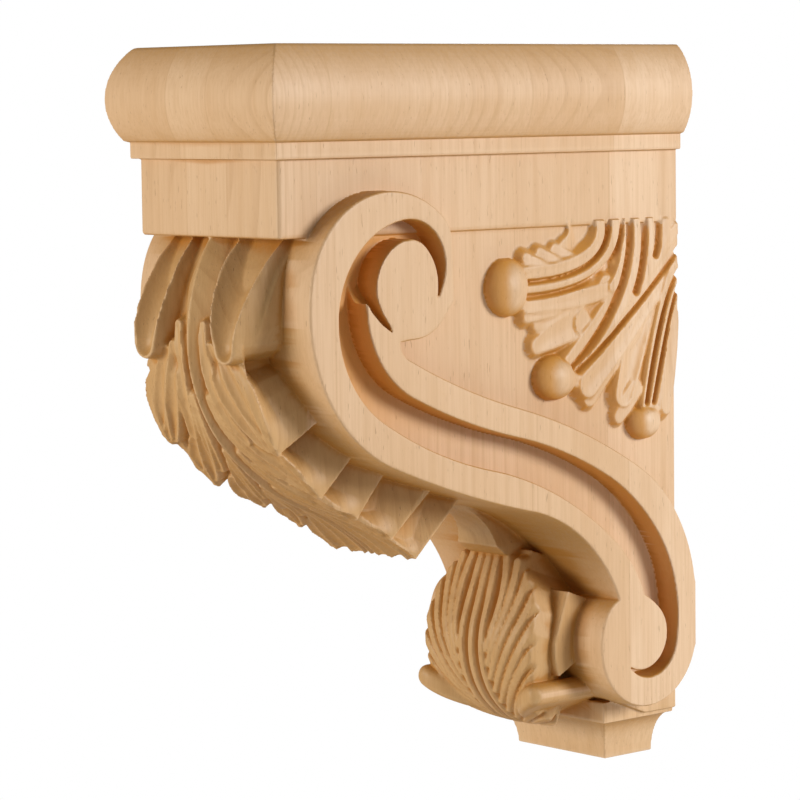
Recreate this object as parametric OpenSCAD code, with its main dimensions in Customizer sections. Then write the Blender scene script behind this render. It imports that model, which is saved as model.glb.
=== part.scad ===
// Carved corbel bracket in solid wood: a moulded crown and block on a pair of S scrolls,
// with acanthus leaf down the front, at the foot and on each side.
// The origin is the centre of the flat wall face: X runs across, Y into the wall, Z up.

/* [Overall] */
// Height from the foot to the top of the crown
height = 330; // [250:1:420]
// Depth from the wall face to the front of the crown
depth = 246; // [190:1:320]
// Width across the faces of the two scrolls
width = 118; // [92:1:160]

/* [Crown and block] */
// Height of the rounded crown moulding
crown_height = 40.6; // [30:0.1:50]
// How far the belly of the crown stands out from the block
crown_belly = 10.6; // [6:0.1:16]
// How far the top edge of the crown stands out from the block
crown_lip = 1.3; // [0:0.1:4]
// How far the lower edge of the crown stands out from the block
crown_foot = 4.7; // [3.5:0.1:8]
// Height of the small fillet under the crown
fillet_height = 7.2; // [4:0.1:12]
// How far the fillet stands out from the block
fillet_step = 3.1; // [1:0.1:6]
// Height of the plain block below the fillet
block_height = 33.9; // [24:0.1:44]
// How far each side of the block lies inside the scroll face
block_inset = 11.5; // [8:0.1:14]

/* [Scrolls] */
// How far each scroll face stands out from the plain side of the body
scroll_stand = 13.4; // [9:0.1:16]
// Depth of the groove that winds along each scroll
groove_depth = 12.9; // [6:0.1:13]
// How far the scroll band runs in behind the leaves, measured from its face
scroll_return = 17; // [15:0.5:22]
// Radius of the front of the upper volute
volute_radius = 44.3; // [40:0.1:48]
// Radius of the belly below the upper volute
belly_radius = 73; // [66:0.5:80]
// Radius of the hollow neck above the lower volute
neck_radius = 75.9; // [68:0.5:84]

/* [Foot] */
// Height of the hollow cove at the foot
cove_height = 20.3; // [12:0.1:30]
// How far the cove cuts in on the front and both sides
cove_depth = 14.1; // [8:0.1:20]
// Depth of the foot slab above the cove
slab_depth = 45.1; // [38:0.1:56]
// Height of the foot slab above the cove
slab_height = 9.7; // [6:0.1:14]
// How far each side of the slab lies inside the scroll face
slab_inset = 15.6; // [12:0.1:20]

/* [Leaves] */
// Height of the ribs above the hollows beside them
rib_height = 3; // [1:0.1:4]
// Half width of the front leaf at its broad lobes
front_leaf_half = 37.5; // [32:0.5:39]
// Height of each side leaf above the plain side
side_leaf_height = 6; // [3:0.1:8]
// Radius of the curled tips on the side leaves
tip_radius = 11; // [8:0.1:13]
// Half width of the leaf at the foot
foot_leaf_half = 37; // [30:0.5:40]

/* [Hidden] */

ky = depth / 246;
kz = height / 330;
kx = width / 118;
half = width / 2;
body_half = half - scroll_stand;
block_half = half - block_inset;
slab_half = half - slab_inset;
block_front = -(depth - crown_belly);
fillet_top = -crown_height;
block_top = fillet_top - fillet_height;
block_bottom = block_top - block_height;
slab_bottom = -height + cove_height;

// One arc of a chain: state is [y, z, heading]; a negative sweep turns right
function arc_centre(s, r, sweep) =
    [s[0] - sign(sweep) * r * sin(s[2]), s[1] + sign(sweep) * r * cos(s[2])];

function arc_at(s, r, sweep, t) =
    let (c = arc_centre(s, r, sweep), a = s[2] + sweep * t, g = sign(sweep) * r)
    [c[0] + g * sin(a), c[1] - g * cos(a), a];

// Points along a chain of tangent arcs, as [y, z, heading]
function chain(s, segs, n = 8, i = 0) =
    i == len(segs) ? [s] :
    let (r = segs[i][0], sweep = segs[i][1])
    concat(
        [for (k = [0 : n - 1]) arc_at(s, r, sweep, k / n)],
        chain(arc_at(s, r, sweep, 1), segs, n, i + 1));

function last(v) = v[len(v) - 1];
function but_last(v) = [for (i = [0 : len(v) - 2]) v[i]];
function turned(v) = [for (i = [len(v) - 1 : -1 : 0]) v[i]];
// Side view points at full size; anything within half a millimetre of the wall is put on it
function yz(v) = [for (p = v) [p[0] > -0.5 ? 0 : p[0] * ky, p[1] * kz]];
function mix(a, b, t) = a + (b - a) * t;
function hollow(t) = sin(180 * t);

// Scroll curves, drawn at the nominal size and scaled to the depth and height
scroll_top = [-183.7, -61.9, 180];
back_arcs = [[351.3, 4.3], [15, 44.2], [44.3, 42.3]];
front_arcs = [[volute_radius, 78.2], [belly_radius, 79.3], [512, 9.5], [neck_radius, -51.9]];
scroll_back = chain([-148.4, -110, 89.2], back_arcs);
scroll_front = chain(scroll_top, front_arcs, 10);
lower_volute = chain([-49.8, -249.9, 200.3], [[15.5, 43.6], [30.2, 124.8], [31.8, 76.5]]);
scroll_upper = chain([-179, -126, -90], [[8.4, 62.5], [331.1, 11.9], [307, -14.9], [76.1, -54]]);
groove_outer = chain(
    [-157.6, -108.2, 59.4],
    [[36.9, 14], [20, 112.9], [42, 81], [50.3, 61], [204.8, 18.8], [173.2, -28.3], [65.9, -27.7]]);
groove_inner = chain(
    [-197.7, -108, -91.5],
    [[45.8, 66], [301.5, 12.1], [216, -15.6], [98.1, -25.4], [68.3, -45.9], [17.2, -128.1]]);
lower_eye = chain([-33, -249.5, -28.7], [[39.9, -17.1], [16.1, -163.5]]);
upper_eye = chain([-157.8, -108, 76.5], [[23.1, 60.2], [12.2, 55.4], [21.5, 223.3]]);

// Long section of the front leaf, and the share of its length where each lobe ends
leaf_line = chain([-234.4, -81.7, 237.1], [[73.2, 74.1], [117.9, 26.1], [142, -18.5]], 24);
lobe_ends = [-0.06, 0.284, 0.487, 0.649, 0.783, 0.902, 1];
lobe_in = [1.02, 0.78, 0.82, 0.80, 0.76, 0.74];
lobe_out = [0.92, 1.02, 1.01, 0.90, 0.90, 0.71];
// How far the rim of each lobe curls out at its tip, in rib heights
lobe_curl = [3.6, 0.9, 0.9, 0.9, 0.9, 0.9];
foot_line = chain([-75.9, -236, 249.8], [[4878, 0.3], [39.6, 112.3]], 16);
foot_widths = [0.62, 0.86, 0.97, 1, 0.93, 0.9, 1, 0.97, 0.72, 0.5, 0.34];

// Solid below a grid of surface points: each row is closed against its own inner point
module grid_solid(rows, inner) {
    m = len(rows);
    n = len(rows[0]);
    top = [for (r = rows) each r];
    skin = [for (i = [0 : m - 2], j = [0 : n - 2]) let (a = i * n + j)
        each [[a, a + n, a + 1], [a + 1, a + n, a + n + 1]]];
    sides = [for (i = [0 : m - 2]) let (a = i * n, b = a + n - 1, c = m * n + i)
        each [[a, c, c + 1], [a, c + 1, a + n], [b, c + 1, c], [b, b + n, c + 1]]];
    near = [for (j = [0 : n - 2]) [j, j + 1, m * n]];
    far = [for (j = [0 : n - 2]) let (a = (m - 1) * n + j) [a + 1, a, m * n + m - 1]];
    polyhedron(points = concat(top, inner), faces = concat(skin, sides, near, far), convexity = 6);
}

// Side view outline carried across from x0 to x1
module slice(x0, x1) {
    translate([x0, 0, 0])
        rotate([90, 0, 90])
            linear_extrude(x1 - x0)
                children();
}

function crown_arc(top, belly, foot, h) =
    let (
        a = [top, 0], b = [belly, -h / 2], c = [foot, -h],
        d = 2 * (a[0] * (b[1] - c[1]) + b[0] * (c[1] - a[1]) + c[0] * (a[1] - b[1])),
        ux = ((a * a) * (b[1] - c[1]) + (b * b) * (c[1] - a[1]) + (c * c) * (a[1] - b[1])) / d,
        uy = ((a * a) * (c[0] - b[0]) + (b * b) * (a[0] - c[0]) + (c * c) * (b[0] - a[0])) / d,
        r = norm(a - [ux, uy]),
        t0 = atan2(a[1] - uy, a[0] - ux),
        t1 = atan2(c[1] - uy, c[0] - ux))
    [for (k = [0 : 16]) let (t = mix(t0, t1, k / 16)) [ux + r * cos(t), uy + r * sin(t)]];

module crown() {
    edge = crown_arc(crown_lip, crown_belly, crown_foot, crown_height);
    side = [for (p = edge) [block_half + p[0], p[1]]];
    front = [for (p = edge) [block_front - p[0], p[1]]];
    intersection() {
        slice(-half * 1.5, half * 1.5)
            polygon(concat([[0, 0]], front, [[0, -crown_height]]));
        translate([0, 1, 0])
            rotate([90, 0, 0])
                linear_extrude(depth + 2)
                    polygon(concat(side, [for (p = turned(side)) [-p[0], p[1]]]));
    }
}

module block() {
    translate([-block_half - fillet_step, block_front - fillet_step, block_top])
        cube([2 * (block_half + fillet_step), fillet_step - block_front, fillet_height]);
    translate([-block_half, block_front, block_bottom])
        cube([2 * block_half, -block_front, block_height]);
}

module body() {
    slice(-body_half, body_half)
        polygon(concat(
            [[0, block_bottom + 5]],
            [[scroll_top[0] * ky, block_bottom + 5]],
            yz(scroll_front),
            yz([for (i = [0 : 14]) lower_volute[i]]),
            [[-20 * ky, slab_bottom + 2], [0, slab_bottom + 2]]));
}

module scroll_outline() {
    eye_foot = [for (i = [22 : 24]) upper_eye[i]];
    polygon(yz(concat(but_last(scroll_back), scroll_front, lower_volute, turned(scroll_upper), eye_foot)));
}

module scroll_groove() {
    eye_side = [for (i = [19 : -1 : 0]) upper_eye[i]];
    polygon(yz(concat(groove_outer, but_last(lower_eye), turned(groove_inner), eye_side)));
}

module scroll() {
    difference() {
        slice(half - scroll_return, half)
            scroll_outline();
        slice(half - groove_depth, half + 1)
            scroll_groove();
    }
}

module foot() {
    top = slab_bottom + slab_height;
    front = -slab_depth * ky;
    cove = [for (k = [0 : 12]) let (a = 90 * k / 12)
        [cove_depth * sin(a), slab_bottom - cove_height * (1 - cos(a))]];
    intersection() {
        slice(-slab_half - 1, slab_half + 1)
            polygon(concat([[0, top], [front, top]], [for (p = cove) [front + p[0], p[1]]], [[0, -height]]));
        translate([0, 1, 0])
            rotate([90, 0, 0])
                linear_extrude(2 - front)
                    polygon(concat(
                        [[-slab_half, top], [slab_half, top]],
                        [for (p = cove) [slab_half - p[0], p[1]]],
                        [for (p = turned(cove)) [p[0] - slab_half, p[1]]]));
    }
}

// Point on a leaf: x across, h out from its long section at share t
function line_point(line, x, h, t) =
    let (
        f = t * (len(line) - 1),
        i = max(0, min(floor(f), len(line) - 2)),
        p = mix(line[i], line[i + 1], f - i))
    [x, (p[0] + h * sin(p[2])) * ky, (p[1] - h * cos(p[2])) * kz];

// Half section of the front leaf, from its midrib out to the wall of a lobe
leaf_section = [[0, 0], [0.11, -0.2], [0.19, -1], [0.29, 0], [0.45, -1.1], [0.64, -1.4], [0.84, -0.8]];
foot_section = [[0, 0], [0.13, -0.8], [0.25, 0], [0.37, -0.9], [0.5, -0.2], [0.63, -1.1], [0.76, -0.5], [0.88, -1.3]];

// One row across a leaf: wall, rim, section, and the same again on the left
function leaf_row(line, section, w, lift, wall_x, wall_h, t) =
    let (
        right = concat(
            [for (q = section) line_point(line, q[0] * w, q[1] * rib_height, t)],
            [line_point(line, w, lift * rib_height, t), line_point(line, wall_x, wall_h, t)]))
    concat(
        turned(right),
        [for (i = [1 : len(right) - 1]) [-right[i][0], right[i][1], right[i][2]]]);

module front_leaf() {
    stations = [for (k = [0 : 5], j = [0 : 3]) [k, j / 3, j == 0 && k > 0 ? 0.04 : j / 3]];
    shares = [for (s = stations) mix(lobe_ends[s[0]], lobe_ends[s[0] + 1], s[2])];
    rows = [for (i = [0 : len(stations) - 1])
        let (
            k = stations[i][0],
            j = stations[i][1],
            w = mix(lobe_in[k], lobe_out[k], j) * front_leaf_half * kx,
            lift = mix(-1.6, lobe_curl[k], j) - (k == 0 ? 1 - j : 0))
        leaf_row(leaf_line, leaf_section, w, lift, mix(w, body_half - 3, 0.6), -16, shares[i])];
    grid_solid(rows, [for (i = [0 : len(shares) - 1])
        line_point(leaf_line, 0, mix(-26, -34, stations[i][0] / 5), shares[i])]);
}

module foot_leaf() {
    last_row = len(foot_widths) - 1;
    rows = [for (i = [0 : last_row])
        leaf_row(foot_line, foot_section, foot_widths[i] * foot_leaf_half * kx, -1.6,
            foot_widths[i] * foot_leaf_half * kx + 0.5, -28, i / last_row)];
    grid_solid(rows, [for (i = [0 : last_row]) line_point(foot_line, 0, -30, i / last_row)]);
}

function bend(a, b, c, t) = mix(mix(a, b, t), mix(b, c, t), t);

// One rib of a side leaf: a curved ridge that swells and falls away at its tip
module rib(a, b, c, w0, w1, rise) {
    rows = [for (k = [0 : 7])
        let (
            t = k / 7,
            p = bend(a, b, c, t),
            d = bend(a, b, c, min(1, t + 0.05)) - bend(a, b, c, t - 0.05),
            s = [-d[1], d[0]] / norm(d),
            w = mix(w0, w1, t) * (k == 7 ? 0.55 : 1) / 2,
            h = rise * (k == 7 ? 0.45 : mix(0.75, 1, hollow(t))))
        [for (q = [[1, -3], [0.9, 0.35 * h], [0.35, h], [-0.35, h], [-0.9, 0.35 * h], [-1, -3]])
            [body_half + q[1], (p[0] + s[0] * w * q[0]) * ky, (p[1] + s[1] * w * q[0]) * kz]]];
    grid_solid(rows, [for (r = rows) let (p = (r[0] + last(r)) / 2) [body_half - 6, p[1], p[2]]]);
}

module tip(y, z, r) {
    translate([body_half + side_leaf_height + 1.5 - r, y * ky, z * kz])
        sphere(r, $fn = 40);
}

module side_leaf() {
    h = side_leaf_height;
    intersection() {
        union() {
            slice(body_half - 3, body_half + h / 2)
                polygon(yz([
                    [0, -80], [-72, -80], [-80, -94], [-100, -99], [-98, -122], [-90, -135],
                    [-76, -140], [-62, -158], [-52, -158], [-44, -170], [-14, -172], [-3, -152], [0, -150]]));
            rib([-42, -78], [-50, -104], [-102, -101], 7, 8, h);
            rib([-36, -78], [-52, -114], [-102, -110], 7, 8, h);
            rib([-60, -78], [-62, -92], [-76, -96], 12, 9, h * 0.9);
            rib([-62, -104], [-80, -110], [-99, -119], 10, 8, h * 0.8);
            rib([-56, -112], [-74, -118], [-92, -131], 11, 9, h * 0.8);
            rib([-34, -78], [-36, -112], [-72, -145], 8, 9, h * 1.1);
            rib([-4, -92], [-36, -120], [-74, -149], 8, 8, h);
            rib([-30, -122], [-46, -140], [-57, -158], 11, 9, h * 0.9);
            rib([-18, -118], [-28, -136], [-41, -166], 10, 9, h);
            rib([-22, -78], [-14, -118], [-23, -166], 9, 9, h * 1.1);
            rib([-6, -100], [-10, -130], [-16, -166], 8, 7, h);
            tip(-108, -106, tip_radius);
            tip(-79, -147.5, tip_radius);
            tip(-23, -171, tip_radius * 0.85);
        }
        slice(0, half)
            polygon([[0, -height], [0, block_bottom + 2], [-depth, block_bottom + 2], [-depth, -height]]);
    }
}

module corbel() {
    color("BurlyWood")
        translate([0, 0, height / 2])
            union() {
                crown();
                block();
                body();
                foot();
                front_leaf();
                foot_leaf();
                for (flip = [0, 1])
                    mirror([flip, 0, 0]) {
                        scroll();
                        side_leaf();
                    }
            }
}

corbel();
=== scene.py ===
"""Carved wooden corbel bracket: the finished surface, wood and studio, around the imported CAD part.

The carving is worked out as one solid on a fine grid, in millimetres, with z measured down
from the top of the crown and x out from the middle. Only the half with x >= 0 is worked out:
the other half is its mirror image.
"""
import itertools
import math

import bpy
import numpy as np
from mathutils import Matrix, Vector


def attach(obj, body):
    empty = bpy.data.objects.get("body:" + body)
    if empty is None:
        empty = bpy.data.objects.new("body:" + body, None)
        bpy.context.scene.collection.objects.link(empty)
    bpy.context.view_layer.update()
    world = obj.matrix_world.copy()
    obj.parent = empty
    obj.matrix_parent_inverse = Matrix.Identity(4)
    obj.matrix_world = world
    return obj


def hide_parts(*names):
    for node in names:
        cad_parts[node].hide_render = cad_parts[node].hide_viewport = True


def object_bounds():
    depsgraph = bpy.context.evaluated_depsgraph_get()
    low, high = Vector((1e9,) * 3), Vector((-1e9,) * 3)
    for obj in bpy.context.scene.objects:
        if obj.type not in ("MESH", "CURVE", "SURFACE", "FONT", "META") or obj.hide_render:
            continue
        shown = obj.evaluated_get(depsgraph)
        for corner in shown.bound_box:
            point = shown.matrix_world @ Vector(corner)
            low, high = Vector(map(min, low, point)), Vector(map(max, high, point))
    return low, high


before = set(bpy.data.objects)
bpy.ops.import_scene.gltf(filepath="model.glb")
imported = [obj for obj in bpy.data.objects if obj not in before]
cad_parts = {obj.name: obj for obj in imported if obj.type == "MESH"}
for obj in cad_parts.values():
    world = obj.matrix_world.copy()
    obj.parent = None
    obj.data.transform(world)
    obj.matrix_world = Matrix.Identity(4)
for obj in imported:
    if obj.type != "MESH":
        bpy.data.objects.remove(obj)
cad_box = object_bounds()

# Sizes that the CAD part has too, in mm. The front leaf stops just inside the CAD part's box
HEIGHT = 330.0
LEAF_FRONT = 250.0
HALF = 59.0
BODY_HALF = 45.6
BLOCK_HALF = 47.5
SLAB_HALF = 43.4
BLOCK_FRONT = -235.4
CROWN_HEIGHT = 40.6
CROWN_PROFILE = ((1.3, 0.0), (10.6, -20.3), (4.7, -40.6))
FILLET_HEIGHT = 7.2
FILLET_STEP = 3.1
BLOCK_TOP = -44.0
BLOCK_BOTTOM = -81.7
BLOCK_UNDERSIDE = -80.8
SCROLL_RETURN = 17.0
GROOVE_DEPTH = 12.9
SLAB_DEPTH = 45.1
SLAB_HEIGHT = 9.7
COVE_HEIGHT = 20.3
COVE_DEPTH = 14.1

# How far the edges are rounded, in mm
CROWN_EDGE = 0.9
FILLET_EDGE = 0.6
BLOCK_EDGE = 1.6
BLOCK_UNDER_EDGE = 1.4
SCROLL_EDGE = 1.0
GROOVE_EDGE = 0.9
GAP_EDGE = 0.5
FRONT_LEAF_EDGE = 0.7
FOOT_LEAF_EDGE = 1.0
TAB_EDGE = 2.6
TAB_FILLET = 1.5
TONGUE_EDGE = 4.0

# The grid that the solid is worked out on, in mm, what the mesh is thinned out to, and the
# angle in degrees from which an edge is drawn sharp
GRID = 0.75
TRIANGLES = 190000
SHARP_ANGLE = 36

# Camera: degrees round, down and tilted, then metres from the target, and off across and up
CAMERA_ANGLES = (48.94, 5.24, -0.72)
CAMERA_DISTANCE = 1.47517
CAMERA_OFFSET = (-0.02179, 0.00555)
CAMERA_LENS = 146.5
TARGET = (0, -0.1, 0)

# The floor, in metres
FLOOR_REACH = 1.2
FLOOR_LEVEL = -0.6

# Light from all round, and the lamps: name, place, side, power and colour
AMBIENT = 0.26
LAMPS = (
    ("key", (1.85, 0.85, 0.5), 0.7, 37, (1, 1, 1)),
    ("fill", (-0.8, -1.98, 0.2), 0.8, 28, (1, 0.94, 0.82)),
    ("back", (-1.5, 1.9, 0.5), 0.9, 26, (1, 0.98, 0.95)),
)


# ---------------------------------------------------------------- curves

def chain(start, arcs, step=1.5):
    """Points along tangent arcs: start is (y, z, heading), an arc is (radius, sweep)."""
    y, z, heading = start
    points = [(y, z)]
    heading = math.radians(heading)
    for radius, sweep in arcs:
        turn = math.radians(sweep)
        signed = math.copysign(radius, turn)
        cy = y - signed * math.sin(heading)
        cz = z + signed * math.cos(heading)
        count = max(2, math.ceil(abs(turn) * radius / step))
        for k in range(1, count + 1):
            a = heading + turn * k / count
            points.append((cy + signed * math.sin(a), cz - signed * math.cos(a)))
        heading += turn
        y, z = points[-1]
    return np.array(points)


scroll_back = chain((-148.4, -110, 89.2), [(351.3, 4.3), (15, 44.2), (44.3, 42.3)])
scroll_front = chain((-183.7, -61.9, 180), [(44.3, 78.2), (73, 79.3), (512, 9.5), (75.9, -51.9)])
lower_volute = chain((-49.8, -249.9, 200.3), [(15.5, 43.6), (30.2, 124.8), (31.8, 76.5)])
body_foot = chain((-49.8, -249.9, 200.3), [(15.5, 43.6), (30.2, 93.6)])
scroll_upper = chain((-179, -126, -90), [(8.4, 62.5), (331.1, 11.9), (307, -14.9), (76.1, -54)])
groove_outer = chain((-157.6, -108.2, 59.4), [
    (36.9, 14), (20, 112.9), (42, 81), (50.3, 61), (204.8, 18.8), (173.2, -28.3), (65.9, -27.7)])
groove_inner = chain((-197.7, -108, -91.5), [
    (45.8, 66), (301.5, 12.1), (216, -15.6), (98.1, -25.4), (68.3, -45.9), (17.2, -128.1)])
lower_eye = chain((-33, -249.5, -28.7), [(39.9, -17.1), (16.1, -163.5)])
# the upper eye runs past the groove's mouth, where only the scroll's outline follows it
eye_start, eye_side_arcs = (-157.8, -108, 76.5), [(23.1, 60.2), (12.2, 55.4), (21.5, 83.7)]
eye_side = chain(eye_start, eye_side_arcs)
eye_foot = chain(eye_start, eye_side_arcs + [(21.5, 83.7), (21.5, 55.9)])[-15:]
leaf_line = chain((-234.4, -81.7, 237.1), [(73.2, 74.1), (117.9, 26.1), (142, -18.5)], 0.5)
foot_line = chain((-75.9, -236, 249.8), [(4878, 0.3), (39.6, 112.3)], 0.5)


def turned(points):
    return points[::-1]


def to_wall(points):
    """Points within half a millimetre of the wall are put on it."""
    out = np.array(points, float)
    out[out[:, 0] > -0.5, 0] = 0
    return out


# ---------------------------------------------------------------- grid and distances

# the grid goes about 3 mm past the corbel, and its back, top and foot fall between the nodes
x_nodes = (np.arange(int((HALF + 2.5) / GRID) + 2) - 0.5) * GRID
y_nodes = np.arange(-LEAF_FRONT - 3.13, 3.2, GRID)
z_nodes = np.arange(-HEIGHT - 3.29, 3.4, GRID)
Y, Z = np.meshgrid(y_nodes.astype(np.float32), z_nodes.astype(np.float32), indexing="ij")


def from_segment(u, v, a, b):
    """Distance to the segment a-b, and how far along it, 0 to 1."""
    du, dv = b[0] - a[0], b[1] - a[1]
    length = du * du + dv * dv
    t = np.clip(((u - a[0]) * du + (v - a[1]) * dv) / max(length, 1e-9), 0, 1)
    return np.hypot(u - a[0] - t * du, v - a[1] - t * dv), t


def polygon(points):
    """Signed distance to a closed outline in the side view, negative inside."""
    near = np.full(Y.shape, 1e9, np.float32)
    inside = np.zeros(Y.shape, bool)
    for a, b in zip(points, np.roll(points, -1, axis=0)):
        if np.hypot(*(b - a)) < 1e-6:
            continue
        near = np.minimum(near, from_segment(Y, Z, a, b)[0])
        if a[1] != b[1]:
            crossing = (b[0] - a[0]) * (Z - a[1]) / (b[1] - a[1]) + a[0]
            inside ^= ((a[1] > Z) != (b[1] > Z)) & (Y < crossing)
    return np.where(inside, -near, near)


def meet(a, b, r):
    """Where two solids overlap, with the edge between them rounded to radius r."""
    both = np.minimum(np.maximum(a, b) + r, 0)
    return both + np.hypot(np.maximum(a + r, 0), np.maximum(b + r, 0)) - r


def blend_in(a, b, k):
    """Union of two solids with a small fillet k in the corner between them."""
    h = np.maximum(k - np.abs(a - b), 0) / k
    return np.minimum(a, b) - h * h * k * 0.25


def along(line, reach):
    """Place of each point of the side view on a line: s along it and h out to its right.

    The leaves lie to the right of their lines' direction of travel.
    """
    step = np.diff(line, axis=0)
    length = np.concatenate([[0], np.cumsum(np.hypot(step[:, 0], step[:, 1]))])
    tangent = np.gradient(line, axis=0)
    tangent /= np.hypot(tangent[:, 0], tangent[:, 1])[:, None]
    low, high = line.min(axis=0) - reach, line.max(axis=0) + reach
    near = (Y > low[0]) & (Y < high[0]) & (Z > low[1]) & (Z < high[1])
    s = np.full(Y.shape, -999, np.float32)
    h = np.full(Y.shape, 999, np.float32)
    py, pz = Y[near], Z[near]
    best = np.full(py.shape, 1e9, np.float32)
    index = np.zeros(py.shape, int)
    for i, (ly, lz) in enumerate(line):
        d = (py - ly) ** 2 + (pz - lz) ** 2
        closer = d < best
        best[closer] = d[closer]
        index[closer] = i
    ty, tz = tangent[index].T
    oy, oz = py - line[index, 0], pz - line[index, 1]
    s[near] = length[index] + oy * ty + oz * tz
    h[near] = oz * -ty + oy * tz
    return s, h


# ---------------------------------------------------------------- carved relief

def blade(u, v, path, widths, lift, scoop, wall):
    """Height of one gouged blade: a hollow between two rims, along a bent path.

    widths, lift and scoop are one value, or values at the root, middle and tip.
    wall is how steeply the ground falls away outside the rims.
    """
    a, b, c = (np.array(p, float) for p in path)
    t = np.linspace(0, 1, 25)[:, None]
    points = (1 - t) ** 2 * a + 2 * t * (1 - t) * b + t ** 2 * c
    near = np.full(u.shape, 1e9)
    place = np.zeros(u.shape)
    for i in range(len(points) - 1):
        d, part = from_segment(u, v, points[i], points[i + 1])
        closer = d < near
        near = np.where(closer, d, near)
        place = np.where(closer, (i + part) / (len(points) - 1), place)

    def value(three):
        e0, e1, e2 = three if isinstance(three, (tuple, list)) else (three,) * 3
        return (1 - place) ** 2 * e0 + 2 * place * (1 - place) * e1 + place ** 2 * e2

    half = value(widths)
    across = np.minimum(near / half, 1)
    return value(lift) - value(scoop) * (1 - across ** 2) - wall * np.maximum(near - half, 0)


def soften(table):
    """Light blur of a height table."""
    p = np.pad(table, 1, mode="edge")
    return (4 * p[1:-1, 1:-1] + p[:-2, 1:-1] + p[2:, 1:-1] + p[1:-1, :-2] + p[1:-1, 2:]) / 8


def flatness(table, step_a, step_b):
    """Cosine of the slope of a height table, which turns a height into a distance."""
    slope_a = np.gradient(table, step_a, axis=0)
    slope_b = np.gradient(table, step_b, axis=1)
    return 1 / np.sqrt(1 + slope_a ** 2 + slope_b ** 2)


class Relief:
    """Height over a line, as a table of x by s, looked up slice by slice."""

    STEP = 0.5

    def __init__(self, line, reach, start, end, make):
        self.s_map, self.h_map = along(line, reach)
        self.s = np.arange(start, end, self.STEP)
        across, length = np.meshgrid(np.abs(x_nodes), self.s, indexing="ij")
        self.table = make(across, length)
        self.flatness = flatness(self.table, GRID, self.STEP)

    def below(self, i):
        """Signed distance to the surface in slice i, negative below it."""
        top = np.interp(self.s_map, self.s, self.table[i])
        return (self.h_map - top) * np.interp(self.s_map, self.s, self.flatness[i])


# Where the front leaf's six lobes end along its line. For its blades and for the spoon: factors
# on the widths and the scoop, and how steeply the ground falls away beside them
LOBE_TIPS = (53.0, 95.5, 127.0, 152.0, 175.0, 194.3)
BLADE_WIDTH, BLADE_SCOOP, BLADE_WALL = 1.12, 1.6, 1.95
SPOON_WIDTH, SPOON_SCOOP, SPOON_WALL = 0.86, 1.7, 3.6


def curve(points, at):
    """Value on straight lines through (place, value) pairs."""
    p = np.array(points, float)
    return np.interp(at, p[:, 0], p[:, 1])


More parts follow.
